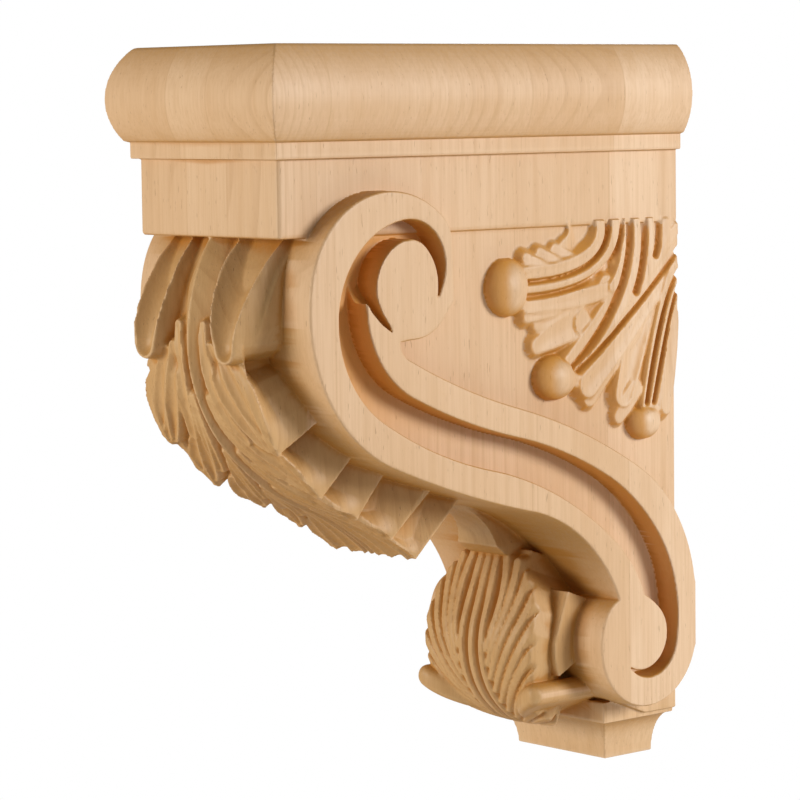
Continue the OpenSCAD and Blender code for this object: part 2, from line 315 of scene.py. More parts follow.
def front_heights(x, s):
    """The acanthus down the front, over its long section."""
    valley = curve([(-6, 7), (3, 7.7), (12, 9), (20, 10), (30, 9.4), (39, 8), (51, 6.2), (61, 4.8),
                    (73, 4.4), (100, 3.8), (140, 3.4), (194, 3)], s)
    crest = curve([(-6, 0.5), (30, 1.2), (60, 2.4), (90, 2.6), (130, 2.2), (194, 1.2)], s)
    low = curve([(-6, -4.5), (30, -5), (60, -4), (100, -3.2), (194, -3)], s)
    q = x / valley
    roof = crest + (low - crest) * np.minimum(q, 1) - 1.2 * np.maximum(x - valley, 0)
    top = np.maximum(roof, -6.5 + 0.02 * x)
    blades = [
        # lobe 1: the broad spoon beside the midrib
        (((27, -8), (25, 22), (27.5, 46)), (12, 14.5, 7.5), (-2.5, 2.6, 5.8), (4, 6, 3.2)),
        # lobe 2: inner flute, main hollow and outer rim
        (((8.5, 38), (7.5, 66), (18, 90)), (1.6, 3.4, 2.4), (0.5, 1.4, 1.2), (0.4, 1.4, 0.8)),
        (((13, 48), (17, 72), (33, 91)), (2.4, 4.6, 3.2), (0.2, 2.0, 3.0), (0.6, 2.2, 1.4)),
        (((19, 50), (28, 66), (36, 92)), (2.2, 4.6, 2.6), (-0.5, 2.2, 3.2), (0.6, 1.8, 1.0)),
        (((24, 52), (40, 58), (38.2, 94)), (2.0, 3.2, 2.4), (-1.2, 2.6, 3.4), (0.3, 0.9, 0.5)),
        # lobe 3
        (((5.5, 70), (8, 92), (20, 112)), (1.4, 3, 2.4), (0.8, 1.6, 1.6), (0.3, 1.3, 0.8)),
        (((9, 80), (15, 100), (32, 119)), (1.8, 4.2, 3), (0.6, 2.2, 2.6), (0.4, 1.8, 1.2)),
        (((20, 93), (30, 101), (36.5, 122)), (1.8, 4.2, 2.8), (0, 2.4, 3.2), (0.4, 1.6, 1.0)),
        (((34, 96), (38.5, 108), (36, 125)), (2, 2.6, 2.2), (1.2, 2.6, 2.8), (0.3, 0.7, 0.4)),
        # lobe 4
        (((5, 100), (8, 118), (17, 136)), (1.4, 2.8, 2.4), (0.8, 1.6, 1.6), (0.3, 1.2, 0.8)),
        (((9, 108), (15, 126), (27, 145)), (1.8, 4, 3), (0.6, 2.2, 2.4), (0.4, 1.8, 1.2)),
        (((21, 122), (29, 130), (32.5, 149)), (1.8, 4, 2.8), (0.2, 2.2, 2.6), (0.4, 1.4, 1.0)),
        # lobe 5
        (((4.5, 126), (7, 142), (15, 158)), (1.4, 2.6, 2.2), (0.8, 1.4, 1.4), (0.3, 1.1, 0.8)),
        (((8, 132), (14, 150), (27, 168)), (1.8, 4, 3.2), (0.5, 2.0, 2.2), (0.4, 1.7, 1.2)),
        (((19, 148), (27, 156), (31, 172)), (1.8, 3.6, 2.6), (0.2, 2.0, 2.4), (0.4, 1.3, 0.9)),
        # lobe 6, the end lip
        (((4, 150), (7, 170), (8, 192)), (1.4, 3.4, 3.6), (0.8, 1.4, 1.2), (0.3, 1.1, 1.2)),
        (((9, 158), (15, 174), (19, 192)), (1.8, 4.6, 5.4), (0.5, 1.8, 1.4), (0.4, 1.7, 1.8)),
        (((20, 170), (26, 178), (27, 192)), (2, 3.6, 3.4), (0.2, 1.8, 1.2), (0.4, 1.2, 1.0)),
    ]
    for path, widths, lift, scoop in blades:
        spoon = path is blades[0][0]
        widths = [w * (SPOON_WIDTH if spoon else BLADE_WIDTH) for w in widths]
        scoop = [d * (SPOON_SCOOP if spoon else BLADE_SCOOP) for d in scoop]
        wall = SPOON_WALL if spoon else BLADE_WALL
        top = np.maximum(top, blade(x, s, path, widths, lift, scoop, wall))
    # the section falls away to the sides, most of all under the block
    fall = curve([
        (-6, 5.5), (20, 3.5), (45, 0), (60, 2.2), (92, 0), (105, 1.6), (125, 0), (152, 0.3), (194, 0.5),
    ], s)
    top = top - fall * np.clip((x - 12) / 26, 0, 1.3) ** 1.6
    # deep pockets between the lobes, beside the tips
    pockets = ((13.5, 55, 2.2, 3.4), (29, 100, 1.4, 3.6), (25, 131, 1.2, 3.4), (22, 156, 1, 3))
    for pocket_x, pocket_s, depth, size in pockets:
        away = (x - pocket_x) ** 2 + ((s - pocket_s) * 0.8) ** 2
        top -= depth * np.exp(-away / size ** 2)
    return soften(top)


def front_outline(x, relief):
    """The stepped lobes down each side of the front leaf, in the slice at x."""
    s, depth = relief.s_map, np.clip(-relief.h_map, 0, 26)
    rim = (
        ((-8, 39.5), (20, 39.5), (30, 38.8), (38, 37.4), (46, 35), (50, 32.5), (53, 28)),
        ((40, 30), (53, 32), (58, 35), (64, 38.5), (72, 39.8), (84, 39.6), (95.5, 38.2)),
        ((90, 36), (100, 37), (110, 38), (127, 36.4)),
        ((120, 33), (130, 33.5), (140, 34), (152, 33)),
        ((145, 30), (156, 31), (175, 32.5)),
        ((168, 28.5), (180, 29.5), (194.3, 29.5)),
    )
    lobes = np.full(Y.shape, 1e3, np.float32)
    start = -8.0
    for k, (edge, tip) in enumerate(zip(rim, LOBE_TIPS)):
        u = np.clip((s - start) / (tip - start), 0, 1)
        recess = (1 - u ** 0.9) * np.minimum(depth * 1.3, 9.5) if k else 0
        wall = curve(edge, s) + depth * 0.2 * u - recess
        side = (x - wall) * 0.94
        if k == 0:
            # the spoon's tip is rounded
            rounding = 0.055 * np.maximum(x - 29, 0) ** 2 + 0.04 * np.maximum(24 - x, 0) ** 2
            end = (s + rounding - tip) * 0.8 - 0.08 * depth
            piece = meet(side, end, 1.6)
        elif k == len(rim) - 1:
            piece = meet(side, s - tip + 0.02 * depth, 1.2)
        else:
            end = s - tip - 0.12 * depth + 0.25 * np.maximum(30 - x, 0)
            piece = meet(side, end, 0.7)
        lobes = np.minimum(lobes, piece)
        start = tip
    # inside the lobes the leaf is whole
    past_end = s - LOBE_TIPS[-1]
    midrib = meet(x - 12.0, past_end, 1.0)
    core = np.maximum(np.maximum(x - 27.5, past_end), LOBE_TIPS[0] + 1.0 - s)
    return np.minimum(np.minimum(lobes, midrib), core)


def foot_heights(x, s):
    """The shell-like leaf at the foot."""
    top = np.full(x.shape, -3.4)
    ridges = [
        ((0, -6), (0, 40), (0, 104), 2.4),
        ((5.2, -4), (8.6, 36), (4.6, 102), 2.3),
        ((11.5, -3), (17.5, 16), (9.6, 40), 2.5),
        ((18.5, -2), (22, 20), (9.8, 47), 2.6),
        ((26, 2), (25, 26), (9.8, 54), 2.7),
        ((33, 8), (29, 32), (9.8, 61), 2.8),
        ((37.5, 20), (30, 42), (9.5, 68), 2.8),
        ((38.5, 36), (28, 51), (9, 75), 2.7),
        ((37, 50), (26, 60), (8.4, 82), 2.6),
        ((38, 71), (26, 72), (7.8, 88), 2.8),
        ((35, 81), (22, 81), (7, 94), 2.6),
        ((28, 92), (17, 90), (6, 99), 2.4),
    ]
    for root, middle, tip, width in ridges:
        widths = (width * 0.62, width * 0.6, width * 0.3)
        ridge = blade(x, s, (root, middle, tip), widths, (1.7, 1.7, 1.2), (0.5, 0.4, 0.1), 1.7)
        top = np.maximum(top, ridge)
    top = top - 4.2 * np.clip(x / 36, 0, 1.2) ** 2
    return soften(top)


def foot_outline(x, relief):
    """The foot leaf's fan, the narrower end under it and the step behind it, in the slice at x."""
    s, depth = relief.s_map, np.clip(-relief.h_map, 0, 30)
    fan = curve([(-8, 20), (0, 23), (8, 30), (18, 34.5), (30, 36), (50, 35.5), (64, 33), (74, 29)], s)
    fan_end = s - 72 + 0.012 * (x - 20) ** 2 - 0.05 * depth
    upper = meet((x - fan - 0.08 * depth) * 0.95, fan_end, 1.2)
    tail = curve([(60, 18), (74, 26), (82, 29), (90, 26), (98, 17), (104, 6)], s)
    lower = np.maximum((x - tail - 0.1 * depth) * 0.8, s - 103)
    step = meet(x - 40.5, np.maximum(s - 58, 14 - depth), 1.0)
    step = np.maximum(step, 6 - s)
    return np.minimum(np.minimum(upper, lower), step)


def side_heights(y, z):
    """Height of the side acanthus above the plain side."""
    low = -6.0
    top = np.full(y.shape, low)
    blades = [
        # root area under the block and along the wall
        (((-24, -86), (-26, -100), (-34, -116)), (22, 16, 10), 2.2, 0, 1.2),
        (((-8, -100), (-12, -120), (-18, -150)), (12, 14, 12), 2.2, 0, 1.2),
        (((-60, -84), (-62, -90), (-70, -92)), (11, 9, 6), 2.6, (3.6, 2.4, 0.4), 1.2),
        # lobe 1: twin ribs curling to the tip
        (((-50.5, -80), (-49, -100), (-99, -101.5)), (2.6, 2.6, 3.4), (3.6, 5.2, 5.4), (0.2, 0.4, 0.6), 1.4),
        (((-41, -80), (-42, -107), (-99, -108.2)), (2.7, 2.6, 3.2), (3.8, 5.4, 5.6), (0.2, 0.5, 0.6), 1.4),
        (((-46, -110), (-64, -114), (-97, -114.5)), (3, 4, 3.6), (3.8, 5.0, 5.2), (0.2, 0.6, 0.6), 1.3),
        # fingers above the ribs
        (((-76, -99), (-82, -96), (-88, -92.5)), (3.2, 3.4, 2.6), (4.2, 4.4, 3.4), (0.2, 0.4, 0.2), 1.3),
        (((-86, -99), (-92, -97), (-97, -94)), (2.4, 2.8, 2.2), (5.0, 5.2, 4.0), (0.2, 0.4, 0.2), 1.3),
        (((-66, -98), (-72, -95), (-78, -91)), (3.4, 3.4, 2.6), (4, 3.8, 2.6), (0.2, 0.3, 0.2), 1.3),
        # leaflets below the ribs
        (((-80, -117), (-88, -117), (-97, -120)), (3.2, 4, 2.4), (4.4, 5.0, 4.4), (0.2, 0.8, 0.2), 1.3),
        (((-70, -116), (-80, -119), (-90, -124)), (4, 4, 2.6), (4, 4.6, 3.6), (0.3, 0.8, 0.2), 1.3),
        (((-64, -124), (-76, -127), (-90, -133)), (6, 6.5, 3.6), (3.8, 4.6, 3.6), (0.4, 1.6, 0.4), 1.2),
        (((-47, -108), (-50, -114), (-61, -124)), (4, 7.5, 6.5), (3.6, 4.6, 4.6), (0.8, 2.8, 2.6), 1.2),
        # lobe 2: three ribs running down to its tip
        (((-29, -80), (-24, -113), (-68, -146)), (3, 3.2, 3.0), (3.8, 5.2, 5.2), (0.2, 0.5, 0.4), 1.4),
        (((-2, -90), (-30, -117), (-66, -150)), (2.2, 3.4, 3.0), (2.8, 5.4, 5.0), (0.2, 0.6, 0.4), 1.4),
        (((-40, -112), (-54, -126), (-72, -141)), (3.4, 3.6, 2.8), (3.4, 4.8, 4.8), (0.2, 0.6, 0.3), 1.3),
        (((-1, -98), (-26, -124), (-60, -152)), (2.4, 4.4, 5.6), (2.6, 5.0, 5.6), (0.2, 0.8, 1.2), 1.3),
        (((-30, -128), (-48, -142), (-58, -158)), (5, 6.6, 4), (4, 4.6, 3.8), (0.8, 1.2, 0.4), 1.2),
        # pale scoop between lobes 2 and 3
        (((-21, -120), (-30, -134), (-37, -158)), (4, 7.4, 5.4), (3.8, 5.2, 5.0), (0.6, 2.4, 1.6), 1.2),
        (((-30, -156), (-35, -162), (-39, -168)), (4, 4.6, 3), (4.4, 4.6, 3.4), (0.3, 0.8, 0.3), 1.2),
        # lobe 3: ribs down to its tip
        (((-3, -102), (-15, -122), (-22.5, -164)), (2.6, 3.0, 3.0), (3.2, 5.4, 5.0), (0.2, 0.5, 0.4), 1.4),
        (((-1, -112), (-12, -130), (-16.5, -165)), (2.0, 2.2, 2.4), (3.2, 5.2, 4.8), (0.2, 0.4, 0.3), 1.4),
        (((-3, -124), (-6, -142), (-10.5, -166)), (3, 4, 3), (3, 4.6, 5.2), (0.2, 0.6, 0.4), 1.3),
        # small ribs between the long ones, by the block and the wall
        (((-19, -80), (-17, -96), (-29, -112)), (2.4, 2.8, 1.2), (3.4, 4.6, 3.6), (0.2, 0.4, 0.1), 1.4),
        (((-8, -82), (-10, -92), (-20, -104)), (2.6, 2.6, 1.4), (3.2, 4.2, 3.8), (0.2, 0.4, 0.1), 1.4),
        (((-1, -84), (-8, -92), (-14, -97)), (2.2, 2.2, 1.2), (3.0, 4.0, 3.4), (0.2, 0.3, 0.1), 1.4),
        (((-34.5, -80), (-34, -100), (-44, -109)), (2.2, 3.0, 2.2), (3.6, 4.8, 4.6), (0.2, 0.5, 0.2), 1.4),
    ]
    for path, widths, lift, scoop, wall in blades:
        top = np.maximum(top, blade(y, z, path, widths, lift, scoop, wall))
    # grooves that divide the ribs
    for path, width, depth in (
            (((-36.5, -80), (-39, -110), (-97, -111)), 1.5, 2.4),
            (((-45.5, -80), (-46, -104), (-97, -104.6)), 1.3, 2.2),
            (((-32, -80), (-30, -114), (-69, -144)), 1.9, 3.2),
            (((0, -94), (-28, -121), (-66, -146)), 1.3, 2.6),
            (((-22, -80), (-22, -98), (-28.5, -112)), 1.7, 3.0),
            (((-13.5, -80), (-12, -90), (-15.5, -96)), 1.4, 2.4),
            (((0, -104), (-14, -120), (-22.5, -163)), 1.2, 2.6),
            (((0, -111), (-9, -128), (-18, -163)), 1.2, 2.6),
    ):
        line = blade(y, z, path, (0.01, 0.01, 0.01), 0, 0, 1.0)
        top -= 1.7 * depth * np.clip(1 + line / (1.25 * width), 0, 1)
    # curled tips: a ball that breaks off at a wavy rim, over the ends of the ribs. A tip is its
    # centre, its two radii, its height and the direction of its rim
    for cy, cz, ry, rz, high, ty, tz in (
            (-107.5, -106.5, 12.5, 13.2, 9.6, 1.0, 0.0),
            (-79, -148, 13, 10.5, 9.2, 0.78, 0.62),
            (-23, -171.5, 10.5, 8.8, 8.4, 0.05, 1.0)):
        v, w = (y - cy) / ry, (z - cz) / rz
        ahead = v * ty + w * tz
        aside = w * ty - v * tz
        rim = 0.66 + 0.05 * np.sin(9 * aside) + 0.03 * np.sin(23 * aside)
        q = v ** 2 + w ** 2
        ball = high * np.sqrt(np.maximum(1 - q, 0)) - 26 * np.maximum(ahead - rim, 0)
        top = np.maximum(top, np.where(q < 1, ball, low))
    return soften(top)


# ---------------------------------------------------------------- the solid, slice by slice

scroll_shape = polygon(to_wall(np.concatenate([
    scroll_back[:-1], scroll_front, lower_volute, turned(scroll_upper), eye_foot])))
# past the tip of the rim's tail the groove's wall runs on to the upper eye
tail_wall = np.array([(-197.9, -104.5), (-197.2, -98.5), (-195.2, -93), (-191.8, -87.8), (-187.2, -83.8)])
eye_top = eye_side[eye_side[:, 1] > np.where(eye_side[:, 0] < -172, -82.5, -200)]
groove_shape = polygon(to_wall(np.concatenate([
    groove_outer, lower_eye[:-1], turned(groove_inner), tail_wall, turned(eye_top)])))
body_shape = polygon(to_wall(np.concatenate([
    [(0, -76.7), (-183.7, -76.7)], scroll_front, body_foot, [(-20, -307.7), (0, -307.7)]])))
front = Relief(leaf_line, 44, -12, 215, front_heights)
foot = Relief(foot_line, 42, -12, 125, foot_heights)
side_top = side_heights(Y.astype(float), Z.astype(float))
side_flatness = flatness(side_top, GRID, GRID)
# the narrowing gap between the tail of the rim and the upper eye, and how deep it is
wedge_shape = polygon(np.concatenate([
    turned(tail_wall),
    [(-197.6, -108), (-194.6, -112.6), (-189.7, -117.5), (-183.6, -121.6),
     (-184.7, -119.1), (-189.1, -112.9), (-191.4, -108)],
    turned(eye_side[eye_side[:, 0] < -172])[1:]]))
wedge_depth = np.interp(-Z, (100, 104, 109, 116, 122), (13.2, 11.5, 7.6, 4.4, 1.5)).astype(np.float32)


def crown_circle():
    """Centre and radius of the crown's rounded profile."""
    (ax, az), (bx, bz), (cx, cz) = CROWN_PROFILE
    d = 2 * (ax * (bz - cz) + bx * (cz - az) + cx * (az - bz))
    a2, b2, c2 = ax * ax + az * az, bx * bx + bz * bz, cx * cx + cz * cz
    u = (a2 * (bz - cz) + b2 * (cz - az) + c2 * (az - bz)) / d
    w = (a2 * (cx - bx) + b2 * (ax - cx) + c2 * (bx - ax)) / d
    return u, w, math.hypot(ax - u, az - w)


crown_x, crown_z, crown_r = crown_circle()


def cove(out):
    """Foot slab and the hollowed block under it, for a distance out from the slab's face."""
    height = Z + HEIGHT
    slab = np.maximum(out, np.maximum(height - COVE_HEIGHT - SLAB_HEIGHT, COVE_HEIGHT - HEIGHT - Z))
    ring = np.hypot(out / COVE_DEPTH, height / COVE_HEIGHT)
    hollow = np.where(out > -COVE_DEPTH, (1 - ring) * COVE_DEPTH, -9.0)
    under = np.maximum(np.maximum(hollow, out), np.maximum(-height, height - COVE_HEIGHT - 1))
    return np.minimum(slab, under)


def crown_and_block(x):
    """The rounded crown, the fillet under it and the plain block."""
    out = np.maximum(x - BLOCK_HALF, BLOCK_FRONT - Y)
    crown = np.hypot(np.maximum(out - crown_x, 0), Z - crown_z) - crown_r
    crown = meet(crown, np.maximum(Z, -CROWN_HEIGHT - Z), CROWN_EDGE)
    level = np.maximum(Z + CROWN_HEIGHT - 1, -CROWN_HEIGHT - FILLET_HEIGHT - Z)
    fillet = meet(out - FILLET_STEP, level, FILLET_EDGE)
    upright = meet(x - BLOCK_HALF, BLOCK_FRONT - Y, BLOCK_EDGE)
    block = meet(upright, np.maximum(Z - BLOCK_TOP, BLOCK_UNDERSIDE - Z), BLOCK_UNDER_EDGE)
    return np.minimum(np.minimum(crown, fillet), block)


def body_and_scroll(x):
    """The body and the scroll on its side, with the groove and the gap beside the upper eye."""
    body = meet(body_shape, np.float32(x - BODY_HALF), SCROLL_EDGE)
    band = meet(scroll_shape, np.maximum(x - HALF, HALF - SCROLL_RETURN - x), SCROLL_EDGE)
    band = meet(band, -np.maximum(groove_shape, HALF - GROOVE_DEPTH - x), GROOVE_EDGE)
    band = meet(band, -np.maximum(wedge_shape, HALF - wedge_depth - x), GAP_EDGE)
    return np.minimum(body, band)


def side_leaf(x):
    """The side acanthus, rooted in the body and running up behind the block's lower edge."""
    leaf = (x - BODY_HALF - side_top) * side_flatness
    return np.maximum(leaf, np.maximum(BODY_HALF - 3 - x, Z - BLOCK_BOTTOM - 3))


def front_leaf(i, x):
    """The front leaf, 36 mm thick behind its line, with its top hidden in the block."""
    leaf = meet(front.below(i), front_outline(x, front), FRONT_LEAF_EDGE)
    leaf = np.maximum(leaf, np.maximum(-front.h_map - 36, Z - BLOCK_BOTTOM - 2))
    return np.maximum(leaf, -10 - front.s_map)


def neck_tab(x):
    """Tab that swells down the neck and ends in a rolled knob above the foot leaf."""
    top, bottom, front_face = -205, -232.5, -96
    down = np.clip((top - Z) / 22, 0, 1)
    tab = np.maximum(body_shape - 1.5 - 10.5 * down ** 1.6, x - 8.5 - 5.0 * down ** 1.5)
    tab = meet(tab, np.maximum(bottom - Z, Z - top), TAB_EDGE)
    return meet(tab, front_face - Y, TAB_EDGE)


def foot_leaf(i, x):
    """The foot leaf, 32 mm thick behind its line."""
    leaf = meet(foot.below(i), foot_outline(x, foot), FOOT_LEAF_EDGE)
    leaf = np.maximum(leaf, -foot.h_map - 32)
    return np.maximum(leaf, -9 - foot.s_map)


def tongue(x):
    """Rounded tongue on each side under the foot leaf."""
    root, tip, radius = (10, -304), (36, -292.5), 5.2
    back_end, front_end = -40, -86
    rod = from_segment(np.full(Y.shape, x), Z, root, tip)[0] - radius
    rounded_end = front_end + 0.03 * (x - 37) ** 2 - Y
    return meet(np.maximum(rod, Y - back_end), rounded_end, TONGUE_EDGE)


def corbel_slice(i):
    """Signed distance to the whole corbel in slice i, negative inside it."""
    x = abs(x_nodes[i])
    solid = np.minimum(crown_and_block(x), body_and_scroll(x))
    solid = np.minimum(solid, cove(np.maximum(x - SLAB_HALF, -SLAB_DEPTH - Y)))
    if BODY_HALF - 4 < x < HALF:
        solid = np.minimum(solid, side_leaf(x))
    solid = np.minimum(solid, front_leaf(i, x))
    solid = blend_in(solid, neck_tab(x), TAB_FILLET)
    solid = np.minimum(solid, np.minimum(foot_leaf(i, x), tongue(x)))
    return np.maximum(solid, np.maximum(Y, -LEAF_FRONT - Y)).astype(np.float32)


# ---------------------------------------------------------------- mesh

def surface(field):
    """One vertex in each grid cell that the surface crosses, and one quad on each crossed edge."""
    inside = field < 0
    corners = list(itertools.product((0, 1), repeat=3))
    spans = [[slice(a, a + n - 1) for a, n in zip(corner, inside.shape)] for corner in corners]
    count = sum(inside[tuple(span)].astype(np.uint8) for span in spans)
    cells = np.argwhere((count > 0) & (count < 8))
    number = np.full(count.shape, -1, np.int32)
    number[tuple(cells.T)] = np.arange(len(cells))
    total = np.zeros((len(cells), 3))
    hits = np.zeros(len(cells))
    for p in corners:
        for axis in range(3):
            if p[axis]:
                continue
            q = list(p)
            q[axis] = 1
            fa = field[tuple((cells + p).T)]
            fb = field[tuple((cells + q).T)]
            crossed = (fa < 0) != (fb < 0)
            t = np.where(crossed, fa / np.where(crossed, fa - fb, 1), 0)
            place = np.tile(np.array(p, float), (len(cells), 1))
            place[:, axis] = t
            total += np.where(crossed[:, None], place, 0)
            hits += crossed
    origin = np.array([x_nodes[0], y_nodes[0], z_nodes[0]])
    points = origin + (cells + total / hits[:, None]) * GRID
    points[cells[:, 0] == 0, 0] = 0
    quads = []
    for axis in range(3):
        u, v = (axis + 1) % 3, (axis + 2) % 3
        low = [slice(None)] * 3
        high = [slice(None)] * 3
        low[axis] = slice(None, -1)
        high[axis] = slice(1, None)
        start = inside[tuple(low)]
        nodes = np.argwhere(start != inside[tuple(high)])
        nodes = nodes[(nodes[:, u] > 0) & (nodes[:, v] > 0)]
        outward = start[tuple(nodes.T)]
        ring = []
        for du, dv in ((1, 1), (0, 1), (0, 0), (1, 0)):
            cell = nodes.copy()
            cell[:, u] -= du
            cell[:, v] -= dv
            ring.append(number[tuple(cell.T)])
        quad = np.stack(ring, axis=1)
        quad[~outward] = quad[~outward][:, ::-1]
        quads.append(quad)
    return points, np.concatenate(quads)


def largest_part(points, quads):
    """Keeps the outer skin and drops closed bubbles inside it."""
    label = np.arange(len(points))
    a = quads.ravel()
    b = np.roll(quads, 1, axis=1).ravel()
    while True:
        low = np.minimum(label[a], label[b])
        new = label.copy()
        np.minimum.at(new, a, low)
        np.minimum.at(new, b, low)
        new = new[new]
        if (new == label).all():
            break
        label = new
    names, sizes = np.unique(label, return_counts=True)
    keep = label == names[sizes.argmax()]
    index = np.cumsum(keep) - 1
    return points[keep], index[quads[keep[quads[:, 0]]]]


def mesh_from(name, points, faces):
    mesh = bpy.data.meshes.new(name)
    mesh.from_pydata(points.tolist(), [], faces.tolist())
    mesh.update()
    return mesh


def arrays(mesh):
    """A mesh's points and triangles."""
    points = np.empty(len(mesh.vertices) * 3)
    mesh.vertices.foreach_get("co", points)
    faces = np.empty(len(mesh.loops), np.int32)
    mesh.loops.foreach_get("vertex_index", faces)
    return points.reshape(-1, 3), faces.reshape(-1, 3)


def thin_out(points, quads, budget):
    """Collapses the half to a budget of triangles, and puts its open edge back on x = 0."""
    triangles = np.concatenate([quads[:, [0, 1, 2]], quads[:, [0, 2, 3]]])
    piece = bpy.data.objects.new("half", mesh_from("half", points, triangles))
    bpy.context.scene.collection.objects.link(piece)
    group = piece.vertex_groups.new(name="free")
    group.add(np.flatnonzero(points[:, 0] > GRID * 0.1).tolist(), 1.0, "REPLACE")
    modifier = piece.modifiers.new("thin", "DECIMATE")
    modifier.vertex_group = "free"
    modifier.ratio = min(1, budget / len(triangles))
    modifier.use_collapse_triangulate = True
    graph = bpy.context.evaluated_depsgraph_get()
    points, faces = arrays(bpy.data.meshes.new_from_object(piece.evaluated_get(graph)))
    bpy.data.objects.remove(piece)
    edges = np.sort(np.concatenate([faces[:, [0, 1]], faces[:, [1, 2]], faces[:, [2, 0]]]), axis=1)
    unique, count = np.unique(edges, axis=0, return_counts=True)
    points[unique[count == 1].ravel(), 0] = 0
    return points, faces


def mirrored(points, faces):
    """Adds the left half, sharing the vertices on x = 0."""
    middle = points[:, 0] < 1e-6
    other = np.where(middle, np.arange(len(points)), np.cumsum(~middle) - 1 + len(points))
    flip = points[~middle] * (-1, 1, 1)
    return np.concatenate([points, flip]), np.concatenate([faces, other[faces][:, ::-1]])


def box_blur(a, reach):
    """Mean over a cube, one axis at a time."""
    for axis in range(3):
        margins = [(reach + 1, reach) if k == axis else (0, 0) for k in range(3)]
        total = np.cumsum(np.pad(a, margins, mode="edge"), axis=axis)
        n, width = a.shape[axis], 2 * reach + 1
        a = (np.take(total, range(width, width + n), axis) - np.take(total, range(n), axis)) / width
    return a


def sample(field, points):
    """Value of a grid field at points, between its nodes."""
    origin = np.array([x_nodes[0], y_nodes[0], z_nodes[0]])
    p = np.stack([np.abs(points[:, 0]), points[:, 1], points[:, 2]], axis=1)
    g = np.clip((p - origin) / GRID, 0, np.array(field.shape) - 1.001)
    i = g.astype(int)
    f = g - i
    value = 0
    for corner in itertools.product((0, 1), repeat=3):
        weight = np.where(corner, f, 1 - f).prod(axis=1)
        value = value + weight * field[tuple((i + corner).T)]
    return value


def crowding(field, reach, points):
    """How full of wood the cube round each point is, in a cube of twice the reach."""
    solid = (field < 0).astype(np.float32)
    n = max(1, int(round(reach / GRID)))
    return sample(box_blur(np.concatenate([solid[n + 1:1:-1], solid]), n)[n:], points)


def beside(table, points):
    """A side-view table's values at the nodes nearest to the points."""
    place = (points[:, 1:] - (y_nodes[0], z_nodes[0])) / GRID
    row, column = np.clip(place.round().astype(int), 0, np.array(table.shape) - 1).T
    return table[row, column]


def scroll_wall(points):
    """The outer walls of the scrolls, above the body's face."""
    at_edge = np.abs(beside(scroll_shape, points)) < 1.6
    return at_edge & (beside(groove_shape, points) > 2) & (np.abs(points[:, 0]) > 41)


def smoothed(value, faces, passes=3):
    """Evens out a vertex value with its neighbours'."""
    a = faces.ravel()
    b = np.roll(faces, 1, axis=1).ravel()
    count = np.bincount(a, minlength=len(value)) + np.bincount(b, minlength=len(value))
    for _ in range(passes):
        total = np.bincount(a, value[b], len(value)) + np.bincount(b, value[a], len(value))
        value = 0.5 * value + 0.5 * total / count
    return value


def leaf_darkening(points):
    """How far each vertex has the leaves' darker tone: whole on the leaves, half on the foot slab."""
    x, y, z = np.abs(points[:, 0]), points[:, 1], points[:, 2]
    leaves = (beside(body_shape, points) > -4) & (x < 41) & (z < BLOCK_BOTTOM) & (z > -312) & (y < -50)
    slab = (z < -HEIGHT + COVE_HEIGHT + SLAB_HEIGHT + 0.6) & (x < BODY_HALF)
    return np.where(leaves, 1.0, np.where(slab, 0.5, 0.0))


def painted_amber_shade(points, normal):
    """Painted shade: how amber each vertex is, on the steep walls of the side carving, the groove and the
    gap, and more where the carving faces the front, away from the key light.
    """
    x, y, z = np.abs(points[:, 0]), points[:, 1], points[:, 2]
    steep = np.clip(1 - np.abs(normal[:, 0]), 0, 1)
    gap = beside(wedge_shape, points)
    groove = ((beside(groove_shape, points) < 1.2) | (gap < 1.0)) & (x > 44)
    carving = (x > BODY_HALF + 0.6) & (z < BLOCK_BOTTOM) & (beside(scroll_shape, points) > 1.0) & (y < 0)
    tone = np.where(groove & (x < HALF - 0.4), steep, 0)
    # painted shade on the side carving's walls, most on what faces the front, away from the key light
    tone = np.where(carving, 1.3 * steep + 1.4 * np.maximum(-normal[:, 1], 0), tone)
    tone = np.where((gap < 0.5) & (x > 44) & (x < HALF - 0.6), 0.9, tone)
    # painted shadow: the groove's floor is amber in the upper volute, where the outer rim shades it, and
    # fades down the scroll
    floor = groove & (x < HALF - GROOVE_DEPTH + 0.6)
    return np.where(floor, 0.9 * np.clip((z + 190) / 60, 0, 1), tone)


def flat_side(points):
    """The plain side faces and the groove's floor, where the tone has to stay even."""
    x, z = np.abs(points[:, 0]), points[:, 2]
    low = np.where(z > BLOCK_BOTTOM - 0.5, BLOCK_HALF, BODY_HALF)
    return (x > 43) & (x < low + 0.9) & (z > -HEIGHT + 22)


def vertex_normals(points, faces):
    a, b, c = (points[faces[:, k]] for k in range(3))
    across = np.cross(b - a, c - a)
    normal = np.zeros(points.shape)
    for k in range(3):
        for axis in range(3):
            normal[:, axis] += np.bincount(faces[:, k], across[:, axis], len(points))
    return normal / (np.linalg.norm(normal, axis=1)[:, None] + 1e-12)


def tones(field, points, faces):
    """What the wood's shader reads at each vertex: how sunken it is, for painted shade and a painted
    highlight, how far it takes the leaves' darker tone, and how much painted amber shade it has.

    Flat faces and the scrolls' outer walls are kept even, because their triangles are large.
    """
    normal = vertex_normals(points, faces)
    # painted shade: how full of wood the space just off each point is, near and far, and in fine creases
    sunken = crowding(field, 4.0, points + normal * 2.5)
    hollow = crowding(field, 9.0, points + normal * 3.0)
    crease = crowding(field, 2.2, points + normal * 1.2)
    wall = scroll_wall(points)
    hollow[wall] = np.minimum(hollow[wall], 0.42)
    sunken[wall] = np.minimum(sunken[wall], 0.24)
    sunken, hollow = smoothed(sunken, faces), smoothed(hollow, faces)
    plain = flat_side(points)
    hollow[plain] = 0.3
    sunken[plain] = 0.19
    crease[plain] = 0.23
    return {"sunken": sunken, "hollow": hollow, "crease": crease,
            "leaf": leaf_darkening(points), "amber_shade": painted_amber_shade(points, normal)}


